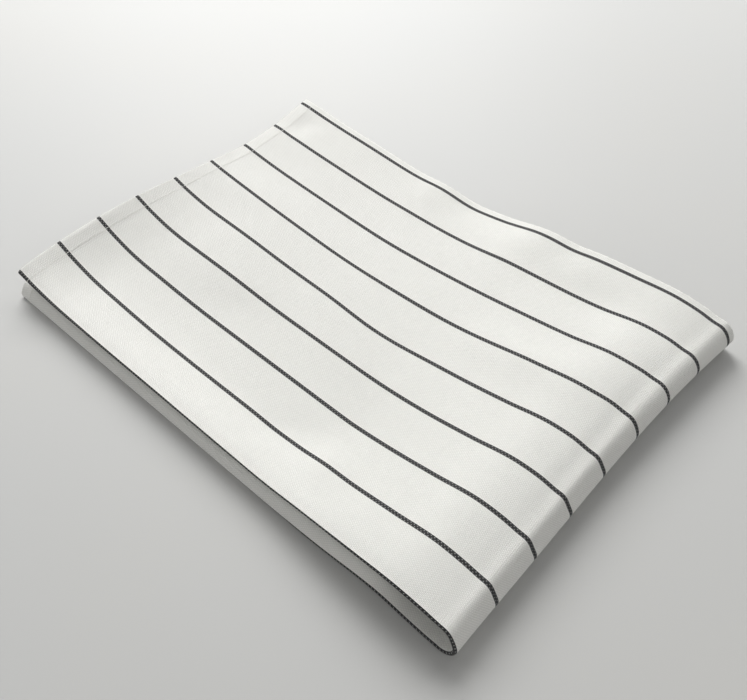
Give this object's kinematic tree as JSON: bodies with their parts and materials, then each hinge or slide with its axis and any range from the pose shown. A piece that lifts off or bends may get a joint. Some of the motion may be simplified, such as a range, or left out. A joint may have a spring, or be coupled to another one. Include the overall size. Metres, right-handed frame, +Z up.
{
  "type": "tea towel",
  "caption": "Cotton tea towel with thin dark lengthwise stripes, folded in half along its length and again across, lying flat with a soft round loop at one end.",
  "frame": {"origin": "on the table, under the middle of the folded towel's bounding box", "axes": "+X from the open hems to the folded loop, along the stripes; +Y from the lengthwise crease to the open selvedges; +Z up"},
  "size_m": [0.3551, 0.2561, 0.0231],
  "materials": {
    "towel_cotton": "matt plain-weave cotton, off-white with thin near-black stripes"
  },
  "bodies": {
    "root": {"towel_cloth": "towel_cotton"}
  },
  "joints": []
}
